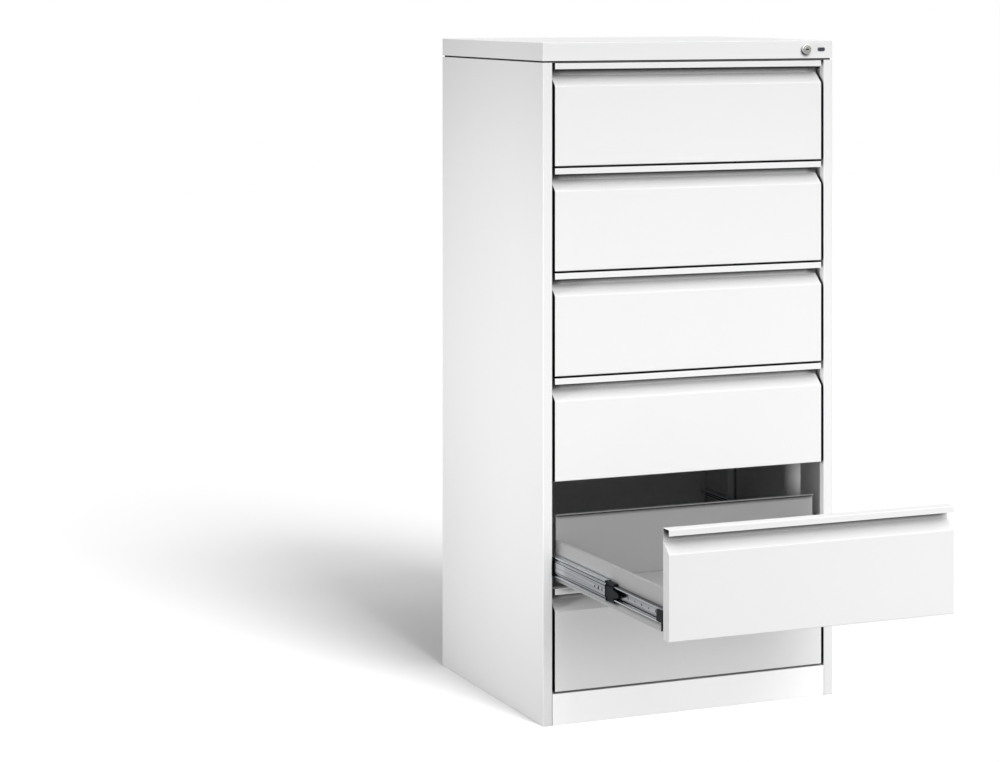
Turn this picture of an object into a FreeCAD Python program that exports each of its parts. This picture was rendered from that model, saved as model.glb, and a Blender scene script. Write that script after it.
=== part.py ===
import FreeCAD, Part
import math
import os
import re
import Sketcher
from FreeCAD import Vector

# A six-drawer steel card-index cabinet, in millimetres.
# The origin is on the floor at the centre of the carcass. X runs to the right,
# Y from the front to the back, Z up. Drawers are counted from the top, and
# drawer 5 stands fully open. Each drawer part is first made once, closed and
# with the lower edge of its front at Z = 0, and is then placed in its row.

os.makedirs("parts", exist_ok=True)
doc = FreeCAD.newDocument("CardIndexCabinet")

SIZES = {
    # carcass
    "cab_width": (645, "outer width"),
    "cab_depth": (590, "outer depth, without the lock"),
    "cab_height": (1357, "outer height"),
    "plate": (1.2, "sheet of the carcass and the drawer fronts"),
    "fit": (0.2, "play between sheets that are pushed together"),
    "stile": (20, "width of each front stile"),
    "stile_return": (18, "how far a stile's inner edge is folded back"),
    "bend": (1.6, "outer radius of a fold"),
    "plinth_height": (62, "floor to the top of the plinth"),
    "plinth_return": (25, "depth of the plinth's top fold"),
    "cover_height": (36.5, "height of the cover's skirt"),
    "cover_gap": (3.5, "shadow gap under the cover"),
    "cover_return": (15, "fold at the cover's lower edge"),
    "cover_rim": (4, "rim in the shadow gap, in from the cover's sides"),
    "base_return": (20, "fold that rests on the floor"),
    "top_front": (30, "top panel's front edge behind the front plane"),
    "top_skirt": (15, "folds of the top panel"),
    "back_inset": (2.6, "top panel's rear edge in front of the carcass back"),
    "stiffener_length": (472, "length of the hat channels under the cover"),
    "stiffener_shift": (41.3, "hat channels' middle behind the carcass's middle"),
    "stiffener_place": (193.5, "hat channel's middle from the carcass's middle"),
    "stiffener_half": (25, "half the width of a stiffener's crown"),
    "stiffener_foot": (12, "width of a stiffener's foot"),
    "post_front": (18.5, "front post behind the front plane"),
    "post_width": (89.5, "width of the front posts"),
    "rear_post": (467, "rear post behind the front plane"),
    "rear_post_width": (108, "width of the rear posts"),
    "post_top": (1298, "top of the posts"),
    "rivet_radius": (2, "rivets that hold the back panel"),
    "rivet_head": (3.6, "radius of a rivet's head"),
    "rivet_low": (120, "height of the lowest rivet"),
    "rivet_step": (220, "distance between rivets"),
    "rivet_flat": (2.2, "radius of the flat on a rivet's head"),
    "rivet_rise": (1.4, "how far a rivet's head stands out"),
    "rivet_collar": (2.8, "radius of a rivet's collar inside"),
    "foot_radius": (14, "pad of a levelling foot"),
    "foot_clear": (2, "levelling foot's pad above the floor"),
    "foot_pad": (4, "thickness of a levelling foot's pad"),
    "foot_stem": (4, "radius of a levelling foot's thread"),
    "foot_inset": (40, "foot's axis from the carcass side"),
    "foot_front": (60, "front feet behind the front plane"),
    "foot_rear": (45, "rear feet in front of the carcass back"),
    # drawers
    "pitch": (209, "height of one drawer row"),
    "front_gap": (4, "gap between two fronts"),
    "side_gap": (6, "gap between a front and a stile"),
    "front_depth": (27, "depth of a drawer front"),
    "lip": (12, "height of the pull's lip"),
    "grip_back": (25, "lip's top to the end of the pull's rear wall"),
    "grip_front": (46, "lip's top to the end of the pull's slope"),
    "tray_plate": (1, "sheet of the trays"),
    "tray_length": (550, "depth of a tray"),
    "tray_floor": (8, "underside of a tray's floor"),
    "tray_side": (88, "top of a tray's side walls"),
    "tray_back": (140, "top of a tray's rear wall"),
    "tray_fold": (8, "width of the folds along a tray's walls"),
    "tray_hem": (6, "height of the hem inside a tray's walls"),
    "travel": (555, "how far a drawer opens"),
    # telescopic slides
    "slide_depth": (16, "post to tray"),
    "slide_centre": (41, "slide's middle above the front's lower edge"),
    "slide_length": (550, "length of each member"),
    "slide_front": (33, "slide's front end behind the front plane"),
    "inner_lead": (5, "how far the drawer member stands in front of the others"),
    "rail": (1.3, "sheet of the slide members"),
    "outer_half": (24.5, "half the height of the cabinet member"),
    "outer_edge": (13.6, "post to the lips of the cabinet member"),
    "outer_lip": (21, "cabinet member's lips end this far from the middle"),
    "middle_half": (20, "half the height of the middle member"),
    "middle_web": (3, "post to the web of the middle member"),
    "middle_edge": (13.9, "post to the edges of the middle member"),
    "groove_low": (11.8, "inner side of the grooves rolled into the middle member"),
    "groove_high": (17.2, "outer side of those grooves"),
    "groove_depth": (2.2, "depth of those grooves"),
    "groove_slope": (1, "slope of a groove's walls, across the groove"),
    "inner_half": (14.3, "half the height of the drawer member"),
    "inner_edge": (7.2, "post to the lips of the drawer member"),
    "inner_lip": (11.1, "drawer member's lips end this far from the middle"),
    "middle_share": (0.53, "middle member's travel for one of the drawer"),
    "ball_room": (8, "cage's end to its first ball"),
    "cage_arm": (0.6, "thickness of a cage's arms"),
    "outer_ball": (1.5, "radius of the balls on the cabinet side"),
    "inner_ball": (2.05, "radius of the balls on the drawer side"),
    "cage_face": (6.65, "post to the inner cage's strip"),
    "cage_skin": (0.4, "thickness of the inner cage's strip"),
    "head_length": (36, "length of the inner cage's plastic head"),
    "nose_length": (26, "length of the head's pointed tongue"),
    "core_near": (4.45, "post to the near side of the plastic cores"),
    "core_far": (14.4, "post to the far side of the plastic cores"),
    "core_half": (10.9, "half the height of the plastic cores"),
    "clip_length": (26, "length of the end clip's core"),
    "clip_plate": (4.4, "thickness of the end clip's face and hook"),
    # lock
    "lock_side": (260.5, "lock's axis to the right of the middle"),
    "lock_level": (1339, "height of the lock's axis"),
    "lock_radius": (10, "outer radius of the lock's collar"),
    "lock_neck": (8.5, "radius of the lock's body"),
    "lock_proud": (8, "how far the collar stands out"),
    "lock_length": (27, "body behind the front plane"),
    "collar_edge": (1.2, "chamfer of the lock's collar"),
    "plug_radius": (6, "radius of the turning plug"),
    "plug_proud": (0.4, "how far the plug stands out of the collar"),
    "plug_square": (5, "radius of the plug's end that carries the cam"),
    "plug_flange": (7.5, "radius of the plug's flange behind the body"),
    "key_height": (2.4, "height of the key's slot"),
    "key_width": (7, "width of the key's slot"),
    "key_depth": (7, "depth of the key's slot"),
    "nut_radius": (12.5, "radius of the nut over its corners"),
    "nut_height": (4, "thickness of the nut"),
    "cam_reach": (12, "plug's axis to the cam's pin"),
    "cam_plate": (3, "thickness of the cam and the lock bar"),
    "cam_hub": (8, "plug's axis to the cam's round end"),
    "cam_tip": (4.5, "pin's axis to the cam's end"),
    "pin_radius": (2, "radius of the cam's pin"),
    "pin_length": (8, "length of the cam's pin"),
    "bar_drop": (17, "how far the lock bar drops to lock"),
    "catch_low": (69, "lower edge of a tray's catch"),
    "catch_high": (80, "upper edge of a tray's catch"),
    "catch_reach": (10, "how far a catch stands out from its tray"),
    "hook_low": (84.5, "lower edge of a hook when unlocked"),
    "hook_height": (10, "height of a hook"),
    "hook_gap": (5.2, "tray to the end of a hook"),
    "bar_clear": (1.5, "lock bar behind the lock's plug"),
    "bar_play": (1, "room around the lock bar and its hooks in the sheets"),
    "arm_half": (6, "half the height of the lock bar's arm"),
    "bar_tail": (18, "lock bar below its lowest hook"),
    "pin_play": (0.6, "room above and below the cam's pin in its slot"),
    "bar_near": (3.5, "post's face to the lock bar"),
    "bar_far": (13.5, "post's face to the lock bar's far edge"),
    "badge_left": (34, "badge's left end from the carcass side"),
    "badge_right": (18, "badge's right end from the carcass side"),
    "badge_half": (3.5, "half the height of the badge"),
}
DRAWERS = 6
OPEN_DRAWER = 5
BALLS = 8
RIVETS = 6
SIDES = {"right": 1, "left": -1}

sheet = doc.addObject("Spreadsheet::Sheet", "Size")
for row, (alias, (number, meaning)) in enumerate(SIZES.items(), 1):
    sheet.set(f"A{row}", str(number))
    sheet.setAlias(f"A{row}", alias)
    sheet.set(f"B{row}", meaning)
doc.recompute()

exports = []


def cells(text):
    """The expression with each alias read from the sheet."""
    return re.sub(r"[a-z_]+", lambda word: f"Size.{word[0]}" if word[0] in SIZES else word[0], str(text))


def value(text):
    """The number that an expression gives now."""
    return float(sheet.evalExpression(cells(text)))


def bind(thing, **properties):
    """Bind properties to expressions; a double underscore stands for a dot."""
    for name, text in properties.items():
        thing.setExpression(name.replace("__", "."), cells(text))


def place(thing, x="0", y="0", z="0"):
    bind(thing, Placement__Base__x=x, Placement__Base__y=y, Placement__Base__z=z)


def new_body(name):
    return doc.addObject("PartDesign::Body", name)


def new_sketch(body, name, role, offset="0"):
    """An empty sketch on an origin plane of its own body, moved by offset along the plane's normal."""
    sketch = body.newObject("Sketcher::SketchObject", name)
    plane = next(f for f in body.Origin.OriginFeatures if f.Role == role)
    sketch.AttachmentSupport = [(plane, "")]
    sketch.MapMode = "FlatFace"
    bind(sketch, AttachmentOffset__Base__z=offset)
    return sketch


def hold_point(sketch, line, end, across, up):
    """Tie one end of a line, or a circle's centre, to the sketch's origin."""
    for kind, text in (("DistanceX", across), ("DistanceY", up)):
        index = sketch.addConstraint(Sketcher.Constraint(kind, -1, 1, line, end, value(text)))
        sketch.setExpression(f"Constraints[{index}]", cells(text))


def outline(body, name, role, corners, offset="0"):
    """A sketch of one closed outline through corners, each a pair of expressions."""
    sketch = new_sketch(body, name, role, offset)
    points = [Vector(value(across), value(up), 0) for across, up in corners]
    for i, point in enumerate(points):
        sketch.addGeometry(Part.LineSegment(point, points[(i + 1) % len(points)]))
    for i in range(len(points)):
        sketch.addConstraint(Sketcher.Constraint("Coincident", i, 2, (i + 1) % len(points), 1))
    for i, (across, up) in enumerate(corners):
        hold_point(sketch, i, 1, across, up)
    return sketch


def circles(body, name, role, centres, radius, offset="0"):
    """A sketch of equal circles, each centre a pair of expressions."""
    sketch = new_sketch(body, name, role, offset)
    for i, (across, up) in enumerate(centres):
        centre = Vector(value(across), value(up), 0)
        sketch.addGeometry(Part.Circle(centre, Vector(0, 0, 1), value(radius)))
        hold_point(sketch, i, 3, across, up)
        index = sketch.addConstraint(Sketcher.Constraint("Radius", i, value(radius)))
        sketch.setExpression(f"Constraints[{index}]", cells(radius))
    return sketch


def rectangle(low, high):
    """The corners of a rectangle between two opposite ones."""
    return [low, (high[0], low[1]), high, (low[0], high[1])]


def pad(body, sketch, length, midplane=False, backwards=False):
    feature = body.newObject("PartDesign::Pad", f"{sketch.Name}Pad")
    feature.Profile = sketch
    feature.Midplane = midplane
    feature.Reversed = backwards
    bind(feature, Length=length)
    doc.recompute()
    return feature


def pocket(body, sketch, length, midplane=False, backwards=False):
    """Cut a sketch into the body, and stop if nothing was removed."""
    before = body.Shape.Volume
    feature = body.newObject("PartDesign::Pocket", f"{sketch.Name}Pocket")
    feature.Profile = sketch
    feature.Midplane = midplane
    feature.Reversed = backwards
    bind(feature, Length=length)
    doc.recompute()
    if not body.Shape.Volume < before:
        raise RuntimeError(f"{feature.Name} cuts nothing")
    return feature


def repeat(body, feature, role, step, count):
    """A linear pattern of one feature along an origin axis of the body."""
    pattern = body.newObject("PartDesign::LinearPattern", f"{feature.Name}Row")
    pattern.Originals = [feature]
    axis = next(f for f in body.Origin.OriginFeatures if f.Role == role)
    pattern.Direction = (axis, [""])
    pattern.Mode = "Spacing"
    pattern.Occurrences = count
    bind(pattern, Offset=step)
    body.Tip = pattern
    doc.recompute()
    return pattern


def round_edges(body, axis, places, radius="bend"):
    """Fillet the straight edges along an axis that pass through the given places in the plane across it."""
    base = body.Tip
    along = "xyz".index(axis)
    wanted = [tuple(value(text) for text in spot) for spot in places]
    names = []
    for i, edge in enumerate(base.Shape.Edges, 1):
        if edge.Curve.TypeId != "Part::GeomLine" or abs(edge.Curve.Direction[along]) < 0.999:
            continue
        middle = list(edge.CenterOfMass)
        middle.pop(along)
        if any(math.dist(middle, spot) < 0.01 for spot in wanted):
            names.append(f"Edge{i}")
    if not names:
        raise RuntimeError(f"{body.Name} has no edges to round")
    fillet = body.newObject("PartDesign::Fillet", "Fold")
    fillet.Base = (base, names)
    bind(fillet, Radius=radius)
    doc.recompute()


def box(name, x, y, z):
    """A block between two expressions on each axis."""
    block = doc.addObject("Part::Box", name)
    sizes = [f"({high}) - ({low})" for low, high in (x, y, z)]
    bind(block, Length=sizes[0], Width=sizes[1], Height=sizes[2])
    place(block, x[0], y[0], z[0])
    return block


def fuse(name, blocks):
    whole = doc.addObject("Part::MultiFuse", name)
    whole.Shapes = blocks
    return whole


def mirrored(thing):
    """The thing's twin on the other side of the cabinet."""
    twin = doc.addObject("Part::Mirroring", f"{thing.Name}Twin")
    twin.Source = thing
    twin.Normal = Vector(1, 0, 0)
    return twin


def group(label, things):
    """One sub-part made of separate solids."""
    whole = doc.addObject("Part::Compound", f"Group_{label}")
    whole.Links = things
    whole.Label = label
    exports.append(whole)
    return whole


def finish(body, label):
    body.Label = label
    exports.append(body)
    return body


HALF = "(cab_width / 2)"
FRONT = "(-cab_depth / 2)"
BACK = "(cab_depth / 2)"
SKIN = f"({HALF} - plate)"
POST = f"({HALF} - stile)"
CARCASS_TOP = "(cab_height - cover_height - cover_gap)"
COVER_LOW = "(cab_height - cover_height)"
FRONT_HEIGHT = "(pitch - front_gap)"
FRONT_HALF = f"({POST} - side_gap)"
FRONT_REAR = f"({FRONT} + front_depth)"
TRAY_HALF = f"({POST} - slide_depth)"
TRAY_REAR = f"({FRONT_REAR} + tray_length)"
SLIDE_FRONT = f"({FRONT} + slide_front)"
SLIDE_REAR = f"({SLIDE_FRONT} + slide_length)"
INNER_FRONT = f"({SLIDE_FRONT} - inner_lead)"
BAR_FRONT = f"({FRONT} + lock_length + 3 * cam_plate + bar_clear)"
BAR_REAR = f"({BAR_FRONT} + cam_plate)"


def row_level(number):
    """Height of the lower edge of a drawer's front."""
    return f"(plinth_height + front_gap + pitch * {DRAWERS - number})"


# ---------------------------------------------------------------- carcass


def side_panel(side_name, side):
    """Outer skin with the front stile and the rear edge folded from one sheet."""
    body = new_body(f"Side_{side_name}")
    places = [
        (POST, f"{FRONT} + stile_return"),
        (POST, FRONT),
        (HALF, FRONT),
        (HALF, BACK),
        (POST, BACK),
        (POST, f"{BACK} - plate"),
        (SKIN, f"{BACK} - plate"),
        (SKIN, f"{FRONT} + plate"),
        (f"{POST} + plate", f"{FRONT} + plate"),
        (f"{POST} + plate", f"{FRONT} + stile_return"),
    ]
    corners = [(f"{side} * ({x})", y) for x, y in places]
    pad(body, outline(body, "Plan", "XY_Plane", corners), CARCASS_TOP)
    folds = [(POST, FRONT), (HALF, FRONT), (HALF, BACK)]
    round_edges(body, "z", [(f"{side} * {x}", y) for x, y in folds])
    holes = circles(body, "RivetHole", "XZ_Plane", [(f"{side} * ({HALF} - stile / 2)", "rivet_low")],
                    "rivet_radius", f"-{BACK}")
    cut = pocket(body, holes, "plate", backwards=True)
    repeat(body, cut, "Z_Axis", "rivet_step", RIVETS)
    return finish(body, f"{side_name}_side_panel")


def post(name, low, width, windows=False):
    """Upright that carries the slides, a channel open towards the outer skin."""
    body = new_body(name)
    high = f"({low} + {width})"
    corners = [
        (POST, low),
        (SKIN, low),
        (SKIN, f"{low} + plate"),
        (f"{POST} + plate", f"{low} + plate"),
        (f"{POST} + plate", f"{high} - plate"),
        (SKIN, f"{high} - plate"),
        (SKIN, high),
        (POST, high),
    ]
    floor = "(plinth_height - plate)"
    pad(body, outline(body, "Plan", "XY_Plane", corners, floor), f"post_top - {floor}")
    if windows:
        level = row_level(DRAWERS)
        low_corner = (f"{BAR_FRONT} - bar_play", f"{level} + hook_low - bar_drop - bar_play")
        high_corner = (f"{BAR_REAR} + bar_play", f"{level} + hook_low + hook_height + bar_play")
        slot = outline(body, "Window", "YZ_Plane", rectangle(low_corner, high_corner), POST)
        cut = pocket(body, slot, "plate", backwards=True)
        repeat(body, cut, "Z_Axis", "pitch", DRAWERS)
    return body


def posts():
    """Two posts on each side; only the right front one has the windows for the lock bar's hooks."""
    front_low = f"({FRONT} + post_front)"
    rear_low = f"({FRONT} + rear_post)"
    plain_front = post("FrontPost", front_low, "post_width")
    lock_front = post("LockPost", front_low, "post_width", windows=True)
    rear = post("RearPost", rear_low, "rear_post_width")
    group("slide_posts", [lock_front, mirrored(plain_front), rear, mirrored(rear)])


def base_panel():
    """Floor pan with a skirt down to the floor all round, folded in at the bottom."""
    body = new_body("Base")
    low, high = f"({FRONT} + stile_return + fit)", f"({BACK} - plate)"
    height = "(plinth_height - plate)"
    pad(body, outline(body, "Plan", "XY_Plane", rectangle((f"-{SKIN}", low), (SKIN, high))), height)
    inner = rectangle((f"plate - {SKIN}", f"{low} + plate"), (f"{SKIN} - plate", f"{high} - plate"))
    pocket(body, outline(body, "Cavity", "XY_Plane", inner, "plate"), f"{height} - 2 * plate", backwards=True)
    opening = rectangle((f"base_return - {SKIN}", f"{low} + base_return"),
                        (f"{SKIN} - base_return", f"{high} - base_return"))
    pocket(body, outline(body, "Opening", "XY_Plane", opening), "plate", backwards=True)
    feet = circles(body, "FootHoles", "XY_Plane", foot_places(), "foot_stem + fit / 2", f"{height} - plate")
    pocket(body, feet, "plate", backwards=True)
    return finish(body, "base_panel")


def foot_places():
    across = f"({SKIN} - foot_inset)"
    depths = (f"{FRONT} + foot_front", f"{BACK} - foot_rear")
    return [(f"{side} * {across}", depth) for depth in depths for side in (1, -1)]


def levelling_feet():
    """Four threaded feet, screwed fully up so that the base rests on the floor."""
    feet = []
    pad_top = "(foot_clear + foot_pad)"
    profile = [
        ("0", "foot_clear"),
        ("foot_radius", "foot_clear"),
        ("foot_radius", pad_top),
        ("foot_radius / 2", f"{pad_top} + foot_pad"),
        ("foot_stem", f"{pad_top} + foot_pad"),
        ("foot_stem", "plinth_height + plate"),
        ("0", "plinth_height + plate"),
    ]
    for number, (x, y) in enumerate(foot_places(), 1):
        body = new_body(f"Foot{number}")
        turn(body, outline(body, "Profile", "XZ_Plane", profile), "Z_Axis")
        place(body, x, y)
        feet.append(body)
    return group("levelling_feet", feet)


def turn(body, sketch, role):
    """A full revolution of a sketch about one of the body's origin axes."""
    feature = body.newObject("PartDesign::Revolution", f"{sketch.Name}Turned")
    feature.Profile = sketch
    axis = next(f for f in body.Origin.OriginFeatures if f.Role == role)
    feature.ReferenceAxis = (axis, [""])
    feature.Angle = 360
    doc.recompute()
    return feature


def plinth_front():
    body = new_body("Plinth")
    corners = [
        (FRONT, "0"),
        (f"{FRONT} + stile_return - 1", "0"),
        (f"{FRONT} + stile_return - 1", "plate"),
        (f"{FRONT} + plate", "plate"),
        (f"{FRONT} + plate", "plinth_height - plate"),
        (f"{FRONT} + plinth_return", "plinth_height - plate"),
        (f"{FRONT} + plinth_return", "plinth_height"),
        (FRONT, "plinth_height"),
    ]
    pad(body, outline(body, "Profile", "YZ_Plane", corners), f"2 * ({POST} - fit)", midplane=True)
    round_edges(body, "x", [(FRONT, "plinth_height")])
    return finish(body, "plinth_front")


def back_panel():
    body = new_body("Back")
    low = (f"-{SKIN}", "plinth_height")
    high = (SKIN, f"{CARCASS_TOP} - plate")
    face = f"({BACK} - plate)"
    pad(body, outline(body, "Plan", "XZ_Plane", rectangle(low, high), f"-{face}"), "plate")
    for side in (1, -1):
        centre = [(f"{side} * ({HALF} - stile / 2)", "rivet_low")]
        hole = circles(body, f"RivetHole{side + 1}", "XZ_Plane", centre, "rivet_radius", f"-{face}")
        cut = pocket(body, hole, "plate", backwards=True)
        repeat(body, cut, "Z_Axis", "rivet_step", RIVETS)
    return finish(body, "back_panel")


def back_rivets():
    """Pop rivets with a low round head outside and a collar inside."""
    profile = [
        ("0", "-3 * plate"),
        ("rivet_collar", "-3 * plate"),
        ("rivet_collar", "-2 * plate"),
        ("rivet_radius", "-2 * plate"),
        ("rivet_radius", "0"),
        ("rivet_head", "0"),
        ("rivet_head", "rivet_rise / 3"),
        ("rivet_flat", "rivet_rise"),
        ("0", "rivet_rise"),
    ]
    rivets = []
    for side in (1, -1):
        for number in range(RIVETS):
            body = new_body("Rivet")
            turn(body, outline(body, "Profile", "XY_Plane", profile), "Y_Axis")
            place(body, f"{side} * ({HALF} - stile / 2)", BACK, f"rivet_low + {number} * rivet_step")
            rivets.append(body)
    return group("back_rivets", rivets)


def bar_slot():
    """Room for the lock bar, seen from above."""
    return rectangle((f"{POST} + bar_near - bar_play", f"{BAR_FRONT} - bar_play"),
                     (f"{POST} + bar_far + bar_play", f"{BAR_REAR} + bar_play"))


def top_panel():
    """Flat roof under the cover, with a slot for the lock bar at the right."""
    body = new_body("Roof")
    low, high = f"({FRONT} + top_front)", f"({BACK} - back_inset)"
    foot = f"({CARCASS_TOP} - top_skirt)"
    corners = [
        (low, foot),
        (f"{low} + plate", foot),
        (f"{low} + plate", f"{CARCASS_TOP} - plate"),
        (f"{high} - plate", f"{CARCASS_TOP} - plate"),
        (f"{high} - plate", foot),
        (high, foot),
        (high, CARCASS_TOP),
        (low, CARCASS_TOP),
    ]
    pad(body, outline(body, "Profile", "YZ_Plane", corners), f"2 * {SKIN}", midplane=True)
    pocket(body, outline(body, "BarSlot", "XY_Plane", bar_slot(), CARCASS_TOP), "plate")
    return finish(body, "top_panel")


def inset_plan(inset):
    """The cabinet's plan, made smaller by inset on every side."""
    return rectangle((f"{inset} - {HALF}", f"{FRONT} + {inset}"), (f"{HALF} - {inset}", f"{BACK} - {inset}"))


def top_cover():
    """Shallow lid with a skirt all round, its lower edge folded in, and a rim that closes the shadow gap."""
    body = new_body("Cover")
    plan = rectangle((f"-{HALF}", FRONT), (HALF, BACK))
    pad(body, outline(body, "Plan", "XY_Plane", plan, COVER_LOW), "cover_height")
    round_edges(body, "z", [(HALF, FRONT), (HALF, BACK), (f"-{HALF}", FRONT), (f"-{HALF}", BACK)])
    round_edges(body, "x", [(FRONT, "cab_height"), (BACK, "cab_height")], "bend * 0.8")
    cavity = rectangle((f"-{SKIN}", f"{FRONT} + plate"), (SKIN, f"{BACK} - plate"))
    pocket(body, outline(body, "Cavity", "XY_Plane", cavity, f"{COVER_LOW} + plate"),
           "cover_height - 2 * plate", backwards=True)
    rim_low, rim_height = f"({CARCASS_TOP} + fit)", "(cover_gap - fit)"
    pad(body, outline(body, "Rim", "XY_Plane", inset_plan("cover_rim"), rim_low), rim_height)
    pocket(body, outline(body, "RimInside", "XY_Plane", inset_plan("(cover_rim + plate)"), rim_low),
           rim_height, backwards=True)
    opening = inset_plan("cover_return")
    pocket(body, outline(body, "Opening", "XY_Plane", opening, COVER_LOW), "plate", backwards=True)
    pocket(body, outline(body, "BarSlot", "XY_Plane", bar_slot(), COVER_LOW), "plate", backwards=True)
    hole = circles(body, "LockHole", "XZ_Plane", [("lock_side", "lock_level")], "lock_neck + 0.1",
                   f"-{FRONT}")
    pocket(body, hole, "plate")
    return finish(body, "top_cover")


def cover_stiffeners():
    """Two hat channels between the cover and the roof."""
    body = new_body("Stiffener")
    low, high = CARCASS_TOP, "(cab_height - plate)"
    middle, reach, foot = "stiffener_place", "stiffener_half", "stiffener_foot"
    corners = [
        (f"{middle} - {reach} - {foot}", low),
        (f"{middle} - {reach}", low),
        (f"{middle} - {reach}", f"{high} - plate"),
        (f"{middle} + {reach}", f"{high} - plate"),
        (f"{middle} + {reach}", low),
        (f"{middle} + {reach} + {foot}", low),
        (f"{middle} + {reach} + {foot}", f"{low} + plate"),
        (f"{middle} + {reach} + plate", f"{low} + plate"),
        (f"{middle} + {reach} + plate", high),
        (f"{middle} - {reach} - plate", high),
        (f"{middle} - {reach} - plate", f"{low} + plate"),
        (f"{middle} - {reach} - {foot}", f"{low} + plate"),
    ]
    profile = outline(body, "Profile", "XZ_Plane", corners, "-stiffener_shift")
    pad(body, profile, "stiffener_length", midplane=True)
    return group("cover_stiffeners", [body, mirrored(body)])


# ---------------------------------------------------------------- drawers


def drawer_front():
    """Folded front: a pan with a full-width pull under its top lip."""
    body = new_body("DrawerFront")
    run = "(front_depth - plate)"
    rise = "(grip_front - grip_back)"
    shift = f"(plate * {rise} / {run} - plate * sqrt({run}^2 + {rise}^2) / {run})"
    rear = FRONT_REAR
    corners = [
        (FRONT, f"{FRONT_HEIGHT} - lip"),
        (FRONT, FRONT_HEIGHT),
        (rear, FRONT_HEIGHT),
        (rear, f"{FRONT_HEIGHT} - grip_back + {shift}"),
        (f"{FRONT} + plate", f"{FRONT_HEIGHT} - grip_front + {shift}"),
        (f"{FRONT} + plate", "plate"),
        (rear, "plate"),
        (rear, "0"),
        (FRONT, "0"),
        (FRONT, f"{FRONT_HEIGHT} - grip_front"),
        (f"{rear} - plate", f"{FRONT_HEIGHT} - grip_back"),
        (f"{rear} - plate", f"{FRONT_HEIGHT} - plate"),
        (f"{FRONT} + plate", f"{FRONT_HEIGHT} - plate"),
        (f"{FRONT} + plate", f"{FRONT_HEIGHT} - lip"),
    ]
    pad(body, outline(body, "Profile", "YZ_Plane", corners), f"2 * {FRONT_HALF}", midplane=True)
    flange = [
        (FRONT, "0"),
        (rear, "0"),
        (rear, f"{FRONT_HEIGHT} - grip_back"),
        (f"{rear} - plate", f"{FRONT_HEIGHT} - grip_back"),
        (FRONT, f"{FRONT_HEIGHT} - grip_front"),
    ]
    for name, place_x in (("Left", f"-{FRONT_HALF}"), ("Right", f"{FRONT_HALF} - plate")):
        pad(body, outline(body, f"{name}Flange", "YZ_Plane", flange, place_x), "plate")
    folds = [
        (FRONT, FRONT_HEIGHT),
        (rear, FRONT_HEIGHT),
        (FRONT, f"{FRONT_HEIGHT} - grip_front"),
        (FRONT, "0"),
    ]
    round_edges(body, "x", folds)
    round_edges(body, "z", [(f"-{FRONT_HALF}", FRONT), (FRONT_HALF, FRONT)], "bend / 2")
    return body


def drawer_tray():
    """Shallow open tray with an inner front, folded rims and the catch for the lock bar."""
    body = new_body("DrawerTray")
    inner = f"({TRAY_HALF} - tray_plate)"
    fold = f"({TRAY_HALF} - tray_fold)"
    rim_low = "(tray_side - tray_hem)"
    half_profile = [
        (TRAY_HALF, "tray_floor"),
        (TRAY_HALF, "tray_side"),
        (fold, "tray_side"),
        (fold, rim_low),
        (f"{fold} + tray_plate", rim_low),
        (f"{fold} + tray_plate", "tray_side - tray_plate"),
        (inner, "tray_side - tray_plate"),
        (inner, "tray_floor + tray_plate"),
    ]
    other_half = [(f"-({x})", z) for x, z in reversed(half_profile)]
    corners = half_profile + other_half
    pad(body, outline(body, "Profile", "XZ_Plane", corners, f"-{FRONT_REAR}"), "tray_length", backwards=True)
    back = rectangle((f"-{TRAY_HALF}", "tray_floor"), (TRAY_HALF, "tray_back"))
    pad(body, outline(body, "RearWall", "XZ_Plane", back, f"-{TRAY_REAR}"), "tray_plate")
    rim = rectangle((f"-{TRAY_HALF}", f"{TRAY_REAR} - tray_fold"), (TRAY_HALF, TRAY_REAR))
    pad(body, outline(body, "RearRim", "XY_Plane", rim, "tray_back - tray_plate"), "tray_plate")
    inner_front = rectangle((f"fit - {FRONT_HALF}", "fit"),
                            (f"{FRONT_HALF} - fit", f"{FRONT_HEIGHT} - tray_plate"))
    pad(body, outline(body, "InnerFront", "XZ_Plane", inner_front, f"-{FRONT_REAR}"), "tray_plate",
        backwards=True)
    catch = rectangle((TRAY_HALF, "catch_low"), (f"{TRAY_HALF} + catch_reach", "catch_high"))
    catch_face = f"({BAR_REAR} + bar_play)"
    pad(body, outline(body, "Catch", "XZ_Plane", catch, f"-{catch_face}"), "plate", backwards=True)
    return body


def rail_member(name, corners, start, rounded, hole_rows=()):
    """One rolled slide member on the right: corners are pairs of distance from the post and height."""
    body = new_body(name)
    spots = [(f"{POST} - ({u})", f"slide_centre + ({v})") for u, v in corners]
    pad(body, outline(body, "Section", "XZ_Plane", spots, f"-{start}"), "slide_length", backwards=True)
    round_edges(body, "y", [(f"{POST} - ({u})", f"slide_centre + ({v})") for u, v in rounded], "rail")
    for number, (positions, radius, face, depth) in enumerate(hole_rows):
        centres = [(f"{start} + {y}", "slide_centre") for y in positions]
        holes = circles(body, f"Holes{number}", "YZ_Plane", centres, radius, f"{POST} - ({face})")
        pocket(body, holes, depth)
    return body


def channel(base, edge, half, lip_low):
    """Section of a channel with turned-in lips, its web at base and its lips at edge."""
    inward = "rail" if value(edge) > value(base) else "-rail"
    upper = [
        (base, half),
        (edge, half),
        (edge, lip_low),
        (f"{edge} - {inward}", lip_low),
        (f"{edge} - {inward}", f"{half} - rail"),
        (f"{base} + {inward}", f"{half} - rail"),
    ]
    lower = [(u, f"-({v})") for u, v in reversed(upper)]
    return upper + lower


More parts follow.
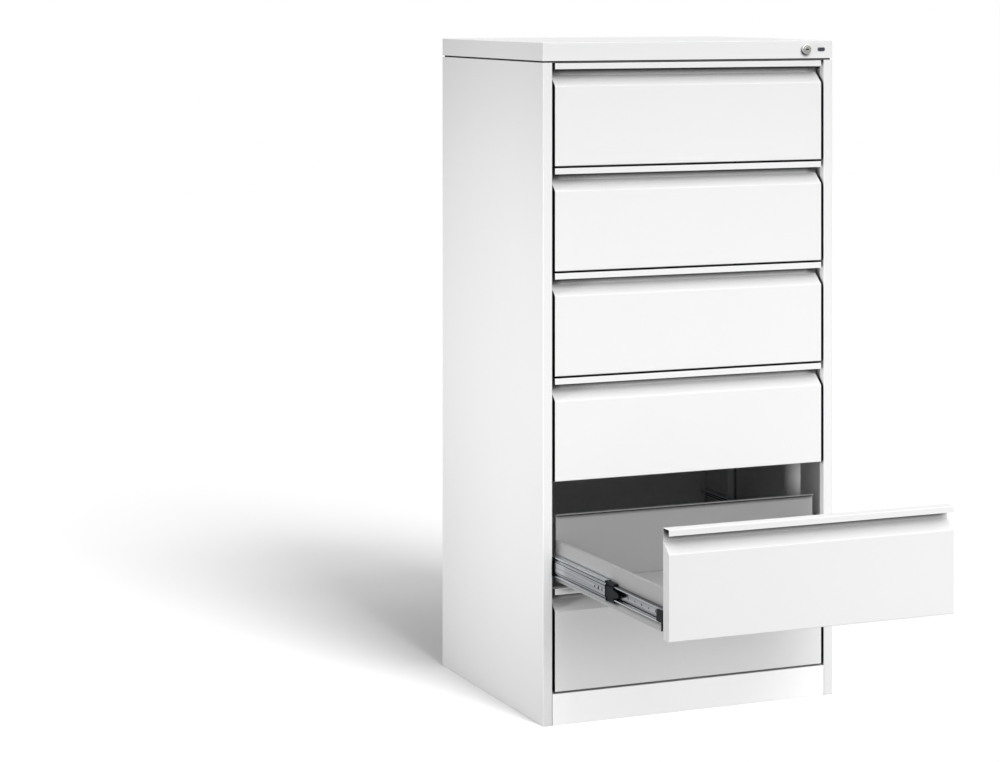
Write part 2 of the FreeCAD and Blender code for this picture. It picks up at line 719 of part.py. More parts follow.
def grooved_section():
    """Section of the middle member: a channel whose web has a rolled groove near each flange."""
    far = "(middle_web + groove_depth)"
    thick = "(0.65 * rail)"
    outside = [
        ("middle_web", "groove_low"),
        (far, "groove_low + groove_slope"),
        (far, "groove_high - groove_slope"),
        ("middle_web", "groove_high"),
        ("middle_web", "middle_half"),
        ("middle_edge", "middle_half"),
    ]
    inside = [
        ("middle_edge", "middle_half - rail"),
        ("middle_web + rail", "middle_half - rail"),
        ("middle_web + rail", f"groove_high + {thick}"),
        (f"{far} + rail", f"groove_high - groove_slope + {thick}"),
        (f"{far} + rail", f"groove_low + groove_slope - {thick}"),
        ("middle_web + rail", f"groove_low - {thick}"),
    ]
    upper = outside + inside
    return upper + [(u, f"-({v})") for u, v in reversed(upper)]


def slide_members():
    """The three members of the right-hand slide: cabinet, middle and drawer."""
    outer = rail_member("CabinetMember", channel("0", "outer_edge", "outer_half", "outer_lip"), SLIDE_FRONT,
                        [("outer_edge", "outer_half"), ("outer_edge", "-outer_half")])
    middle_holes = [((14, 50), "2.6", "middle_web", "rail"), ((32,), "3.4", "middle_web", "rail")]
    middle = rail_member("MiddleMember", grooved_section(), SLIDE_FRONT,
                         [("middle_web", "middle_half"), ("middle_web", "-middle_half")], middle_holes)
    web_face = "slide_depth - rail"
    inner_holes = [((48, 112, 176, 240, 368, 496), "2.6", web_face, "rail"),
                   ((80, 144, 208), "1.7", web_face, "rail")]
    inner = rail_member("DrawerMember", channel("slide_depth", "inner_edge", "inner_half", "inner_lip"),
                        f"({INNER_FRONT} + clip_plate)",
                        [("inner_edge", "inner_half"), ("inner_edge", "-inner_half")], inner_holes)
    return outer, middle, inner


def block_uv(name, u, y, v):
    """A block on the right-hand slide, given as distance from the post, depth and height."""
    return box(name, (f"{POST} - ({u[1]})", f"{POST} - ({u[0]})"), y,
               (f"slide_centre + ({v[0]})", f"slide_centre + ({v[1]})"))


def ball_cage(name, web, reach, rows, ball, ball_u, span):
    """A strip with an arm along each ball row and the balls that sit in it."""
    low, high = span
    step = f"(({high}) - ({low}) - 2 * ball_room) / {BALLS - 1}"
    bits = [block_uv(f"{name}Strip", web, span, (f"-({rows})", rows))]
    for side in (1, -1):
        level = f"{side} * ({rows})"
        arm = (f"{level} - cage_arm / 2", f"{level} + cage_arm / 2")
        bits.append(block_uv(f"{name}Arm", (web[0], reach), span, arm))
        for number in range(BALLS):
            sphere = doc.addObject("Part::Sphere", f"{name}Ball")
            bind(sphere, Radius=ball)
            depth = f"{low} + ball_room + {number} * {step}"
            place(sphere, f"{POST} - ({ball_u})", depth, f"slide_centre + {level}")
            bits.append(sphere)
    return bits


def outer_cage():
    span = (f"({SLIDE_FRONT} + middle_share / 2 * travel + 3)",
            f"({SLIDE_REAR} - middle_share / 2 * travel - 3)")
    rows = "((outer_half - rail + middle_half) / 2)"
    web = ("rail + 0.5", "middle_web - 0.5")
    bits = ball_cage("OuterCage", web, "outer_edge - 3", rows, "outer_ball", "outer_edge - 5", span)
    return fuse("OuterCage", bits)


def inner_cage():
    """The cage between the middle and the drawer member; its head shows when the drawer is out."""
    front = f"({SLIDE_FRONT} + (1 - middle_share) / 2 * travel)"
    rear = f"({SLIDE_REAR} - inner_lead - (1 - middle_share) / 2 * travel - 6)"
    rows = "((middle_half - rail + inner_half) / 2)"
    strip = ("cage_face", "cage_face + cage_skin")
    bits = ball_cage("InnerCage", strip, "middle_edge - 1", rows, "inner_ball", "middle_edge - 3.3",
                     (front, rear))
    head = (f"{front} - head_length", f"{front} + 2")
    shoe_low, shoe_high = "(inner_half + 0.2)", "(middle_half - rail - 0.2)"
    bits.append(block_uv("CageFace", strip, head, (f"-{shoe_high}", shoe_high)))
    bits.append(block_uv("CageCore", ("core_near", "core_far"), head, ("-core_half", "core_half")))
    bits.append(block_uv("UpperShoe", ("cage_face", "middle_edge - 0.5"), head, (shoe_low, shoe_high)))
    bits.append(block_uv("LowerShoe", ("cage_face", "middle_edge - 0.5"), head,
                         (f"-{shoe_high}", f"-{shoe_low}")))
    bits.append(nose_plate(f"({front} - head_length)"))
    return fuse("InnerCage", bits)


def nose_plate(base):
    """Pointed tongue in front of the cage's head."""
    body = new_body("CageNose")
    tip = f"({base} - nose_length)"
    shoulder = f"({tip} + nose_length / 3)"
    widths = [(f"{base} + 1", "core_half * 0.7"), (shoulder, "core_half / 2"), (tip, "core_half / 6")]
    upper = [(y, f"slide_centre + {v}") for y, v in widths]
    lower = [(y, f"slide_centre - {v}") for y, v in reversed(widths)]
    pad(body, outline(body, "Tongue", "YZ_Plane", upper + lower, f"{POST} - inner_edge - rail"),
        "inner_edge + rail - core_near")
    return body


def end_clip():
    """Plastic end piece in the drawer member's front, with a hook below it."""
    front = INNER_FRONT
    width = ("core_near", "core_far")
    face = (front, f"{front} + clip_plate")
    toe = (f"{front} + clip_plate / 2", f"{front} + clip_plate")
    return fuse("EndClip", [
        block_uv("ClipCore", width, (front, f"{front} + clip_length"), ("-core_half", "core_half")),
        block_uv("ClipFace", width, face, ("-middle_half", "core_half + 1.5")),
        block_uv("ClipHook", ("core_near", "inner_edge + 2"), toe, ("-outer_half - 1.5", "1 - middle_half")),
    ])


def place_drawer(number, pieces):
    """Set one drawer's pieces in their row; the open drawer's stand forward by their share of the travel."""
    for suffix, (things, share) in pieces.items():
        whole = group(f"drawer_{number}_{suffix}", things)
        forward = f"-({share}) * travel" if number == OPEN_DRAWER else "0"
        place(whole, y=forward, z=row_level(number))


def drawers():
    front = drawer_front()
    tray = drawer_tray()
    outer, middle, inner = slide_members()
    cage_out = outer_cage()
    cage_in = inner_cage()
    clip = end_clip()
    pieces = {
        "front": ([front], "1"),
        "tray": ([tray], "1"),
        "slide_inner": ([inner, mirrored(inner)], "1"),
        "end_clips": ([clip, mirrored(clip)], "1"),
        "slide_middle": ([middle, mirrored(middle)], "middle_share"),
        "outer_cages": ([cage_out, mirrored(cage_out)], "middle_share / 2"),
        "inner_cages": ([cage_in, mirrored(cage_in)], "(1 + middle_share) / 2"),
    }
    for number in range(1, DRAWERS + 1):
        place_drawer(number, pieces)
    cabinet_slides(outer)


def cabinet_slides(outer):
    """The members fixed to the posts, one pair in each row."""
    pair = [outer, mirrored(outer)]
    rows = []
    for number in range(1, DRAWERS + 1):
        row = doc.addObject("Part::Compound", f"CabinetPair{number}")
        row.Links = pair
        place(row, z=row_level(number))
        rows.append(row)
    return group("slide_cabinet_members", rows)


# ---------------------------------------------------------------- lock


def lock_piece(name, profile):
    """A piece turned about the lock's axis, given as pairs of radius and distance behind the front plane."""
    body = new_body(name)
    turn(body, outline(body, "Profile", "XY_Plane", profile), "Y_Axis")
    place(body, "lock_side", FRONT, "lock_level")
    return body


def lock_housing():
    bore = "(plug_radius + 0.05)"
    body = lock_piece("LockHousing", [
        (bore, "-lock_proud"),
        ("lock_radius - collar_edge", "-lock_proud"),
        ("lock_radius", "collar_edge - lock_proud"),
        ("lock_radius", "0"),
        ("lock_neck", "0"),
        ("lock_neck", "lock_length"),
        (bore, "lock_length"),
    ])
    return finish(body, "lock_housing")


def lock_plug():
    body = lock_piece("LockPlug", [
        ("0", "-lock_proud - plug_proud"),
        ("plug_radius - plug_proud", "-lock_proud - plug_proud"),
        ("plug_radius", "-lock_proud"),
        ("plug_radius", "lock_length + fit"),
        ("plug_flange", "lock_length + fit"),
        ("plug_flange", "lock_length + cam_plate"),
        ("plug_square", "lock_length + cam_plate"),
        ("plug_square", "lock_length + 2 * cam_plate"),
        ("0", "lock_length + 2 * cam_plate"),
    ])
    slot = rectangle(("-key_width / 2", "-key_height / 2"), ("key_width / 2", "key_height / 2"))
    pocket(body, outline(body, "KeySlot", "XZ_Plane", slot, "lock_proud + plug_proud"), "key_depth")
    return finish(body, "lock_plug")


def lock_nut():
    """Flat hexagon nut behind the cover's skirt."""
    body = new_body("LockNut")
    corners = [(f"nut_radius * cos({60 * i} deg)", f"nut_radius * sin({60 * i} deg)") for i in range(6)]
    pad(body, outline(body, "Hexagon", "XZ_Plane", corners, "-plate"), "nut_height", backwards=True)
    pocket(body, circles(body, "Bore", "XZ_Plane", [("0", "0")], "lock_neck + 0.05", "-plate"), "nut_height")
    place(body, "lock_side", FRONT, "lock_level")
    return finish(body, "lock_nut")


def lock_cam():
    """Plate on the plug's square end, with a pin that lifts and lowers the lock bar."""
    body = new_body("LockCam")
    near, far = "cam_hub", "cam_tip"
    pin = "(cam_reach * sqrt(0.5))"
    corners = [
        (f"-{near} * sqrt(0.5)", f"{near} * sqrt(0.5)"),
        (f"{pin} - {far} * 0.5", f"{pin} + {far}"),
        (f"{pin} + {far} * 0.5", f"{pin} + {far}"),
        (f"{pin} + {far}", f"{pin} + {far} * 0.5"),
        (f"{pin} + {far}", f"{pin} - {far} * 0.5"),
        (f"{near} * sqrt(0.5)", f"-{near} * sqrt(0.5)"),
        ("0", f"-{near}"),
        (f"-{near}", "0"),
    ]
    face = "(lock_length + cam_plate)"
    pad(body, outline(body, "Plan", "XZ_Plane", corners, f"-{face}"), "cam_plate", backwards=True)
    bore = circles(body, "Bore", "XZ_Plane", [("0", "0")], "plug_square", f"-{face}")
    pocket(body, bore, "cam_plate")
    stud = circles(body, "Pin", "XZ_Plane", [(pin, pin)], "pin_radius", f"-({face} + cam_plate)")
    pad(body, stud, "pin_length", backwards=True)
    place(body, "lock_side", FRONT, "lock_level")
    return finish(body, "lock_cam")


def lock_bar():
    """Flat bar in the right front post, with an arm to the cam and a hook for each drawer."""
    body = new_body("LockBar")
    inner, outer = f"({POST} + bar_near)", f"({POST} + bar_far)"
    pin_level = "(lock_level + cam_reach * sqrt(0.5))"
    arm_low, arm_high = f"({pin_level} - arm_half)", f"({pin_level} + arm_half)"
    arm_end = "(lock_side + arm_half / 2)"
    bottom = f"({row_level(DRAWERS)} + hook_low - bar_tail)"
    corners = [(inner, bottom)]
    for number in range(DRAWERS, 0, -1):
        low = f"({row_level(number)} + hook_low)"
        high = f"({low} + hook_height)"
        reach = f"({TRAY_HALF} + hook_gap)"
        corners += [(inner, low), (reach, low), (reach, high), (inner, high)]
    corners += [(inner, arm_low), (arm_end, arm_low), (arm_end, arm_high), (outer, arm_high), (outer, bottom)]
    pad(body, outline(body, "Plan", "XZ_Plane", corners, f"-{BAR_FRONT}"), "cam_plate", backwards=True)
    slot_half = "(pin_radius + pin_play)"
    slot = rectangle((f"lock_side + cam_reach * sqrt(0.5) - {slot_half}", f"{pin_level} - {slot_half}"),
                     (f"lock_side + cam_reach + {slot_half}", f"{pin_level} + {slot_half}"))
    pocket(body, outline(body, "PinSlot", "XZ_Plane", slot, f"-{BAR_FRONT}"), "cam_plate")
    return finish(body, "lock_bar")


def badge():
    """Small blank plate beside the lock."""
    body = new_body("Badge")
    left, right = f"({HALF} - badge_left)", f"({HALF} - badge_right)"
    low, high = "lock_level - badge_half", "lock_level + badge_half"
    plan = rectangle((left, low), (right, high))
    pad(body, outline(body, "Plan", "XZ_Plane", plan, f"-{FRONT}"), "tray_plate")
    round_edges(body, "y", [(x, z) for x in (left, right) for z in (low, high)], "badge_half * 0.8")
    return finish(body, "badge")


# ---------------------------------------------------------------- assembly

for side_name, side in SIDES.items():
    side_panel(side_name, side)
posts()
base_panel()
levelling_feet()
plinth_front()
back_panel()
back_rivets()
top_panel()
top_cover()
cover_stiffeners()
drawers()
lock_housing()
lock_plug()
lock_nut()
lock_cam()
lock_bar()
badge()
doc.recompute()

for thing in doc.Objects:
    if {"Invalid", "Error"} & set(thing.State):
        raise RuntimeError(f"{thing.Label} failed: {thing.State}")
for thing in exports:
    if thing.Shape.isNull() or not thing.Shape.isValid():
        raise RuntimeError(f"{thing.Label} has no valid shape")
for thing in exports:
    thing.Shape.exportStep(f"parts/{thing.Label}.step")
print(len(exports), "sub-parts written")
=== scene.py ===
import math

import bpy
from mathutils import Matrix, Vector

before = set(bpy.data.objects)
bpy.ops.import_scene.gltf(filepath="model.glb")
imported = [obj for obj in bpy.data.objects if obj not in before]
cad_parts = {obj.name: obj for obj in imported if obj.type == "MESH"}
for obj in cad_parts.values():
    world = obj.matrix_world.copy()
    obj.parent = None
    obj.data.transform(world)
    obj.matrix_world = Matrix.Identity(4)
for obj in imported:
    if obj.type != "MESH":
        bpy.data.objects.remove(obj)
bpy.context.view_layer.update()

# The looks of a six-drawer steel card-index cabinet, in metres, in the part's own
# frame: X to the right, Y from the front to the back, Z up, the floor at Z = 0.
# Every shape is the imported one. This script gives each part its finish and sets up
# the studio.

DRAWERS = range(1, 7)
OUTSIDE = ("left_side_panel", "right_side_panel", "plinth_front", "top_cover")
INSIDE = ("slide_posts", "base_panel", "back_panel", "top_panel", "cover_stiffeners")
FRONTS = [f"drawer_{n}_front" for n in DRAWERS]
TRAYS = [f"drawer_{n}_tray" for n in DRAWERS]

# powder coat
WHITE = (0.80, 0.80, 0.80)
DIM_WHITE = (0.788, 0.788, 0.788)

# how far each finish's painted shade in gaps, corners and recesses reaches, and the open shares at which
# that painted shade is darkest and at which it ends
SHEET_PAINTED_SHADE = {"reach": 0.014, "closed": 0.42, "clear": 0.75}
FRONT_PAINTED_SHADE = {"reach": 0.032, "closed": 0.42, "clear": 0.74}
ZINC_PAINTED_SHADE = {"reach": 0.005, "closed": 0.42, "clear": 0.75}
NICKEL_PAINTED_SHADE = {"reach": 0.004, "closed": 0.42, "clear": 0.75}

# slides: height of their middle in the lowest row, height of a row, and how far the painted lip highlights
# and groove shade reach from that middle
SLIDE_CENTRE = 0.107
PITCH = 0.209
PAINTED_RAIL_BAND_HEIGHT = 0.025

# camera
CAMERA_PLACE = Vector((-2.4877, -5.7559, 1.4595))
CAMERA_LOOK = Vector((0.4244, 0.9055, 0.0))
LENS = 106.43
SENSOR = 36.0
SHIFT = {"shift_x": -0.223, "shift_y": -0.390}

# studio light: azimuth from the front towards the right, and elevation, in degrees
KEY = {"strength": 1.15, "azimuth": 10, "elevation": 40, "spread": 30}
TOP = {"strength": 1.3, "azimuth": -40, "elevation": 75, "spread": 60}
FRONT_LAMP = {"power": 950, "azimuth": 14, "elevation": 13, "distance": 8.0, "target": (0.42, 0, 0.22),
              "size": 22, "softness": 1.2}
SIDE_LAMP = {"power": 820, "azimuth": -72, "elevation": 0, "distance": 6.0, "target": (0, 0, 0.68),
             "size": 21, "softness": 0.4}
LOW_FILL = {"strength": 0.85, "azimuth": 10, "elevation": 6, "spread": 6}
FLOOR_AZIMUTH = 7
FLOOR_SPREAD = 20
FLOOR_SUNS = ((16, 0.45), (36, 1.35), (46, 0.83), (58, 0.47), (70, 0.31))  # elevation and strength
SKY_STRENGTH = 0.44
FLOOR_SIZE = 30.0


# ---------------------------------------------------------------- node helpers


def new_material(name):
    """An empty node material with a Principled shader; returns the material, its tree and the shader."""
    material = bpy.data.materials.new(name)
    material.use_nodes = True
    tree = material.node_tree
    return material, tree, tree.nodes["Principled BSDF"]


def object_coordinates(tree, scale=(1, 1, 1)):
    """The part's own coordinates in metres, stretched by scale."""
    source = tree.nodes.new("ShaderNodeTexCoord")
    mapping = tree.nodes.new("ShaderNodeMapping")
    mapping.inputs["Scale"].default_value = scale
    tree.links.new(source.outputs["Object"], mapping.inputs["Vector"])
    return mapping.outputs["Vector"]


def noise(tree, vector, scale, detail=2.0, roughness=0.5):
    node = tree.nodes.new("ShaderNodeTexNoise")
    node.inputs["Scale"].default_value = scale
    node.inputs["Detail"].default_value = detail
    node.inputs["Roughness"].default_value = roughness
    tree.links.new(vector, node.inputs["Vector"])
    return node.outputs["Fac"]


def ramp(tree, factor, low, high, start=0.0, end=1.0):
    """Maps factor from start..end to the numbers low..high."""
    node = tree.nodes.new("ShaderNodeMapRange")
    for socket, number in (("From Min", start), ("From Max", end), ("To Min", low), ("To Max", high)):
        node.inputs[socket].default_value = number
    tree.links.new(factor, node.inputs["Value"])
    return node.outputs["Result"]


def shades(tree, factor, *stops):
    """A colour ramp; each stop is a position and a colour or a grey level."""
    node = tree.nodes.new("ShaderNodeValToRGB")
    elements = node.color_ramp.elements
    while len(elements) < len(stops):
        elements.new(1.0)
    for element, (position, colour) in zip(elements, stops):
        element.position = position
        element.color = (*colour, 1) if isinstance(colour, tuple) else (colour, colour, colour, 1)
    tree.links.new(factor, node.inputs["Fac"])
    return node.outputs["Color"]


def calculate(tree, operation, value, *numbers):
    """A sum on a value, with the numbers that it needs."""
    node = tree.nodes.new("ShaderNodeMath")
    node.operation = operation
    tree.links.new(value, node.inputs[0])
    for place, number in enumerate(numbers, 1):
        node.inputs[place].default_value = number
    return node.outputs["Value"]


def multiply(tree, first, second):
    """The product of two colours, or of a colour and a grey level."""
    node = tree.nodes.new("ShaderNodeMix")
    node.data_type = "RGBA"
    node.blend_type = "MULTIPLY"
    node.inputs["Factor"].default_value = 1.0
    tree.links.new(first, node.inputs["A"])
    tree.links.new(second, node.inputs["B"])
    return node.outputs["Result"]


def painted_crevice_shade(tree, reach, closed, clear):
    """
    Painted shade: near zero where no more than the share closed of the surroundings above is open within
    reach.

    Reach is shorter on faces that look up, which catch the light, so less shade is painted on them.
    """
    normal = tree.nodes.new("ShaderNodeNewGeometry").outputs["Normal"]
    lifted = tree.nodes.new("ShaderNodeVectorMath")
    lifted.inputs[1].default_value = (0, 0, 0.6)
    tree.links.new(normal, lifted.inputs[0])
    upwards = tree.nodes.new("ShaderNodeVectorMath")
    upwards.operation = "NORMALIZE"
    tree.links.new(lifted.outputs["Vector"], upwards.inputs[0])
    node = tree.nodes.new("ShaderNodeAmbientOcclusion")
    node.samples = 16
    tree.links.new(upwards.outputs["Vector"], node.inputs["Normal"])
    slope = tree.nodes.new("ShaderNodeSeparateXYZ")
    tree.links.new(normal, slope.inputs["Vector"])
    tree.links.new(ramp(tree, slope.outputs["Z"], reach, 0.3 * reach, 0.0, 0.4), node.inputs["Distance"])
    return ramp(tree, node.outputs["AO"], 0.01, 1.0, closed, clear)


def bump(tree, shader, height, distance, strength=1.0):
    """Adds a height to the shader's normal, on top of any bump already there."""
    node = tree.nodes.new("ShaderNodeBump")
    node.inputs["Distance"].default_value = distance
    node.inputs["Strength"].default_value = strength
    tree.links.new(height, node.inputs["Height"])
    before = shader.inputs["Normal"].links
    if before:
        tree.links.new(before[0].from_socket, node.inputs["Normal"])
    tree.links.new(node.outputs["Normal"], shader.inputs["Normal"])


# ---------------------------------------------------------------- materials


def powder_coat(name, gap_shade):
    """Satin powder coat: a fine orange peel, a faint change of tone at random, and painted shade darkening
    gaps and corners.
    """
    material, tree, shader = new_material(name)
    where = object_coordinates(tree)
    shade = shades(tree, noise(tree, where, 3.0, 3.0), (0.3, DIM_WHITE), (0.7, WHITE))
    # painted shade: the coat's colour is darkened in gaps, corners and recesses
    tree.links.new(multiply(tree, shade, painted_crevice_shade(tree, **gap_shade)), shader.inputs["Base Color"])
    tree.links.new(ramp(tree, noise(tree, where, 60.0), 0.40, 0.46), shader.inputs["Roughness"])
    bump(tree, shader, noise(tree, where, 450.0, 1.0), 0.00004)
    bump(tree, shader, noise(tree, where, 1600.0, 1.0), 0.00001)
    return material


def from_slide_centre(tree):
    """Height above or below the middle of the nearest row's slides, in metres."""
    place = tree.nodes.new("ShaderNodeSeparateXYZ")
    tree.links.new(tree.nodes.new("ShaderNodeNewGeometry").outputs["Position"], place.inputs["Vector"])
    low, high = SLIDE_CENTRE - PITCH / 2, SLIDE_CENTRE + PITCH / 2
    in_lowest_row = calculate(tree, "WRAP", place.outputs["Z"], high, low)
    return calculate(tree, "ABSOLUTE", calculate(tree, "SUBTRACT", in_lowest_row, SLIDE_CENTRE))


def painted_lip_highlights_and_groove_shade(tree):
    """Painted highlights on the lips and painted shade in the grooves, by the height from the slide's
    middle.
    """
    height = ramp(tree, from_slide_centre(tree), 0.0, 1.0, 0.0, PAINTED_RAIL_BAND_HEIGHT)
    return shades(tree, height, (0.34, 0.75), (0.38, 0.12), (0.43, 0.12), (0.46, 1.0), (0.54, 1.0),
                  (0.57, 0.08), (0.63, 0.08), (0.66, 1.0))


def zinc(name, with_painted_rail_light):
    """Zinc-plated steel: fine drawing lines, dull and bright streaks painted in as reflections, and
    painted shade in gaps; the switch adds, for the slides, painted highlights on their lips and painted
    shade in their grooves.
    """
    material, tree, shader = new_material(name)
    shader.inputs["Metallic"].default_value = 1.0
    lines = noise(tree, object_coordinates(tree, (1500, 4, 1500)), 1.0, 2.0, 0.6)
    # painted reflection: pale and dull streaks along the metal stand in for reflected light
    painted_reflection_streaks = noise(tree, object_coordinates(tree, (60, 3, 230)), 1.0, 2.0)
    zinc_and_painted_reflection = shades(tree, painted_reflection_streaks, (0.35, (0.52, 0.56, 0.61)), (0.62, (0.92, 0.95, 0.98)))
    if with_painted_rail_light:
        # painted highlights on the slides' lips and painted shade in their grooves
        zinc_and_painted_reflection = multiply(tree, zinc_and_painted_reflection, painted_lip_highlights_and_groove_shade(tree))
    # painted shade: the colour is darkened in gaps and corners
    tree.links.new(multiply(tree, zinc_and_painted_reflection, painted_crevice_shade(tree, **ZINC_PAINTED_SHADE)), shader.inputs["Base Color"])
    tree.links.new(ramp(tree, lines, 0.16, 0.26), shader.inputs["Roughness"])
    bump(tree, shader, lines, 0.00001)
    return material


def nickel(name):
    """Nickel plate, turned and polished, with painted shade in its gaps and corners."""
    material, tree, shader = new_material(name)
    shader.inputs["Metallic"].default_value = 1.0
    wear = noise(tree, object_coordinates(tree), 260.0, 3.0)
    plate = shades(tree, wear, (0.3, (0.80, 0.80, 0.78)), (0.7, (0.88, 0.88, 0.86)))
    # painted shade: the plate's colour is darkened in gaps and corners
    tree.links.new(multiply(tree, plate, painted_crevice_shade(tree, **NICKEL_PAINTED_SHADE)), shader.inputs["Base Color"])
    tree.links.new(ramp(tree, wear, 0.16, 0.28), shader.inputs["Roughness"])
    return material


def black_plastic(name):
    """Moulded nylon with a fine sparked grain."""
    material, tree, shader = new_material(name)
    grain = noise(tree, object_coordinates(tree), 1500.0, 2.0)
    colour = shades(tree, grain, (0.3, (0.004, 0.006, 0.010)), (0.7, (0.008, 0.012, 0.018)))
    tree.links.new(colour, shader.inputs["Base Color"])
    shader.inputs["Roughness"].default_value = 0.42
    shader.inputs["Specular IOR Level"].default_value = 0.15
    bump(tree, shader, grain, 0.00004)
    return material


def badge_enamel(name):
    """Slate-blue enamel under a clear coat."""
    material, tree, shader = new_material(name)
    fleck = noise(tree, object_coordinates(tree), 900.0, 2.0)
    colour = shades(tree, fleck, (0.3, (0.070, 0.085, 0.130)), (0.7, (0.085, 0.100, 0.150)))
    tree.links.new(colour, shader.inputs["Base Color"])
    shader.inputs["Roughness"].default_value = 0.3
    shader.inputs["Coat Weight"].default_value = 0.6
    return material


def floor_paint(name):
    """Matt white for the camera, and a dimmer grey for the light it throws on the cabinet."""
    material, tree, shader = new_material(name)
    shader.inputs["Roughness"].default_value = 1.0
    shader.inputs["Specular IOR Level"].default_value = 0.0
    light_path = tree.nodes.new("ShaderNodeLightPath")
    seen = light_path.outputs["Is Camera Ray"]
    tree.links.new(shades(tree, seen, (0.0, 0.45), (1.0, 0.91)), shader.inputs["Base Color"])
    return material


def give(material, *names):
    """Sets one finish on whole CAD nodes."""
    for node in names:
        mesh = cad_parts[node].data
        mesh.materials.clear()
        mesh.materials.append(material)


def finish_parts():
    give(powder_coat("white_sheet", SHEET_PAINTED_SHADE), *OUTSIDE, *INSIDE, *TRAYS)
    give(powder_coat("white_front", FRONT_PAINTED_SHADE), *FRONTS)
    rails = [f"drawer_{n}_slide_{part}" for n in DRAWERS for part in ("inner", "middle")]
    # the slides' zinc carries painted lip highlights and painted groove shade
    give(zinc("zinc_painted_rail_light", True), "slide_cabinet_members", *rails)
    cages = [f"drawer_{n}_outer_cages" for n in DRAWERS]
    give(zinc("zinc", False), "back_rivets", "lock_cam", "lock_bar", "levelling_feet", *cages)
    give(nickel("nickel"), "lock_housing", "lock_plug", "lock_nut")
    black = [f"drawer_{n}_{part}" for n in DRAWERS for part in ("inner_cages", "end_clips")]
    give(black_plastic("black_plastic"), *black)
    give(badge_enamel("badge_blue"), "badge")


# ---------------------------------------------------------------- studio


def make_floor():
    bpy.ops.mesh.primitive_plane_add(size=FLOOR_SIZE)
    floor = bpy.context.object
    floor.name = "floor"
    floor.data.materials.append(floor_paint("floor_paint"))
    return floor


def aim(light, azimuth, elevation):
    """Turns a light so that it shines from this azimuth and elevation; returns the way to it."""
    turn, rise = math.radians(azimuth), math.radians(elevation)
    source = Vector((math.sin(turn) * math.cos(rise), -math.cos(turn) * math.cos(rise), math.sin(rise)))
    light.rotation_euler = source.to_track_quat("Z", "Y").to_euler()
    return source


def make_light(name, kind):
    light = bpy.data.objects.new(name, bpy.data.lights.new(name, kind))
    bpy.context.scene.collection.objects.link(light)
    return light


def make_sun(name, strength, azimuth, elevation, spread):
    """A broad sun: light from one direction, softened over an angle of spread."""
    sun = make_light(name, "SUN")
    sun.data.energy = strength
    sun.data.angle = math.radians(spread)
    aim(sun, azimuth, elevation)
    return sun


def make_lamp(name, power, azimuth, elevation, distance, target, size, softness):
    """A far spotlight aimed at this point, fading to the edge of its cone."""
    lamp = make_light(name, "SPOT")
    lamp.data.energy = power
    lamp.data.spot_size = math.radians(size)
    lamp.data.spot_blend = 1.0
    lamp.data.shadow_soft_size = softness
    lamp.location = distance * aim(lamp, azimuth, elevation) + Vector(target)
    return lamp


def light_only(light, things, shadows=None):
    """The light falls only on these things; only those in shadows block it, or everything if left out."""
    light.light_linking.receiver_collection = collect(f"{light.name}_lit", things)
    if shadows:
        light.light_linking.blocker_collection = collect(f"{light.name}_blocked", shadows)


def collect(name, things):
    collection = bpy.data.collections.new(name)
    for thing in things:
        collection.objects.link(thing)
    return collection


def make_sky():
    """White behind the object, a soft white for the light it gives, and dark and bright bands in metal."""
    world = bpy.data.worlds.new("studio")
    bpy.context.scene.world = world
    world.use_nodes = True
    tree = world.node_tree
    background = tree.nodes["Background"]
    background.inputs["Color"].default_value = (1, 1, 1, 1)
    light_path = tree.nodes.new("ShaderNodeLightPath")
    direction = tree.nodes.new("ShaderNodeSeparateXYZ")
    tree.links.new(tree.nodes.new("ShaderNodeTexCoord").outputs["Generated"], direction.inputs["Vector"])
    height = ramp(tree, direction.outputs["Z"], 0.0, 1.0, -1.0, 1.0)
    depth = ramp(tree, direction.outputs["Y"], 0.0, 1.0, -1.0, 1.0)
    bands = shades(tree, height, (0.45, 0.15), (0.52, 0.45), (0.62, 1.0), (0.85, 0.7))
    around = multiply(tree, bands, shades(tree, depth, (0.1, 1.0), (0.5, 0.8), (0.85, 0.3)))
    mirrored = choose(tree, ramp(tree, height, 0.0, 1.0, 0.62, 0.8), around, 1.6)
    given = choose(tree, light_path.outputs["Is Glossy Ray"], SKY_STRENGTH, mirrored)
    seen = choose(tree, light_path.outputs["Is Camera Ray"], given, 1.0)
    tree.links.new(seen, background.inputs["Strength"])


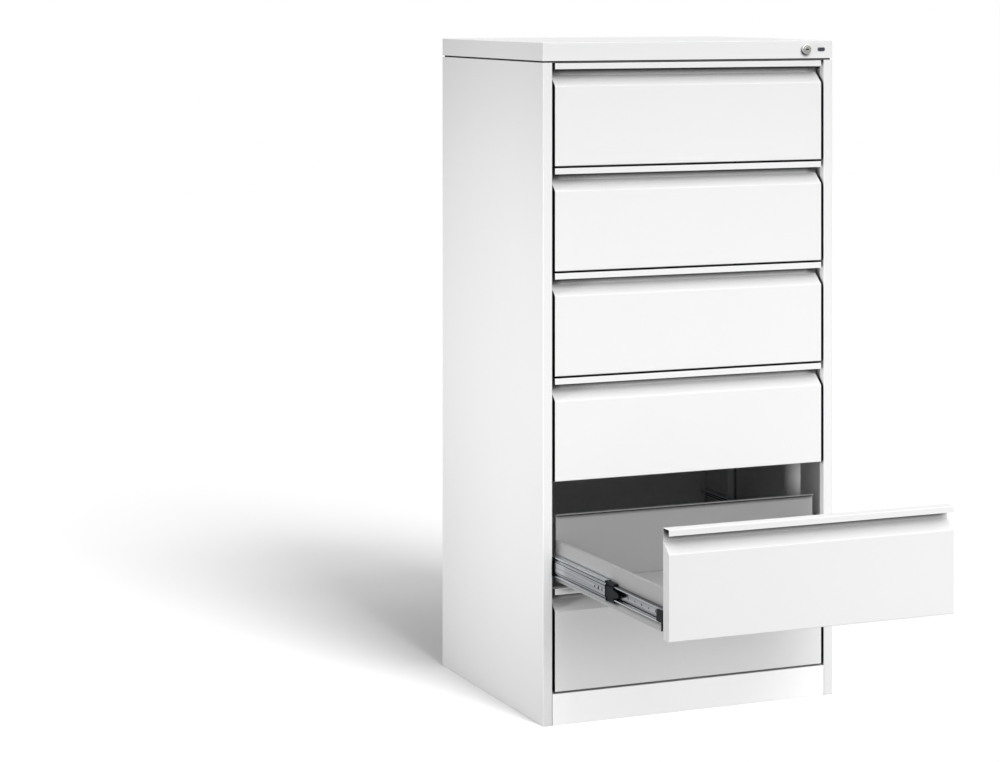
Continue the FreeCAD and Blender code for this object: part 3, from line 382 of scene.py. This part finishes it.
def choose(tree, switch, off, on):
    """The number off or on, or what a socket gives, as switch is zero or one."""
    node = tree.nodes.new("ShaderNodeMix")
    tree.links.new(switch, node.inputs["Factor"])
    for socket, source in ((node.inputs["A"], off), (node.inputs["B"], on)):
        if isinstance(source, float):
            socket.default_value = source
        else:
            tree.links.new(source, socket)
    return node.outputs["Result"]


def make_camera():
    """A level camera whose lens shift holds only where it stands."""
    data = bpy.data.cameras.new("camera")
    data.lens = LENS
    data.sensor_width = SENSOR
    camera = bpy.data.objects.new("camera", data)
    camera.location = CAMERA_PLACE
    camera.rotation_euler = (-CAMERA_LOOK).to_track_quat("Z", "Y").to_euler()
    mark = bpy.data.objects.new("camera_mark", None)
    mark.location = CAMERA_PLACE
    for thing in (camera, mark):
        bpy.context.scene.collection.objects.link(thing)
    for path, amount in SHIFT.items():
        fade_with_distance(data, path, amount, camera, mark)
    bpy.context.scene.camera = camera


def fade_with_distance(data, path, amount, thing, mark):
    """Drives a property: amount while thing is at the mark, and zero from a centimetre away."""
    curve = data.driver_add(path)
    while curve.modifiers:
        curve.modifiers.remove(curve.modifiers[0])
    curve.driver.type = "SUM"
    distance = curve.driver.variables.new()
    distance.type = "LOC_DIFF"
    distance.targets[0].id = thing
    distance.targets[1].id = mark
    curve.keyframe_points.add(2)
    curve.keyframe_points[0].co = (0.0, amount)
    curve.keyframe_points[1].co = (0.01, 0.0)
    for point in curve.keyframe_points:
        point.interpolation = "LINEAR"


def make_studio():
    floor = make_floor()
    painted = parts(OUTSIDE, FRONTS)
    light_only(make_sun("key", **KEY), painted + parts(INSIDE))
    light_only(make_sun("top", **TOP), painted)
    light_only(make_lamp("front_lamp", **FRONT_LAMP), painted)
    light_only(make_lamp("side_lamp", **SIDE_LAMP), painted)
    light_only(make_sun("low_fill", **LOW_FILL), parts(["plinth_front"]))
    for number, (elevation, strength) in enumerate(FLOOR_SUNS, 1):
        sun = make_sun(f"floor_sun_{number}", strength, FLOOR_AZIMUTH, elevation, FLOOR_SPREAD)
        light_only(sun, [floor], parts(OUTSIDE, INSIDE))
    make_sky()
    make_camera()
    bpy.context.scene.view_settings.view_transform = "Standard"


def parts(*groups):
    return [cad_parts[node] for group in groups for node in group]


finish_parts()
make_studio()
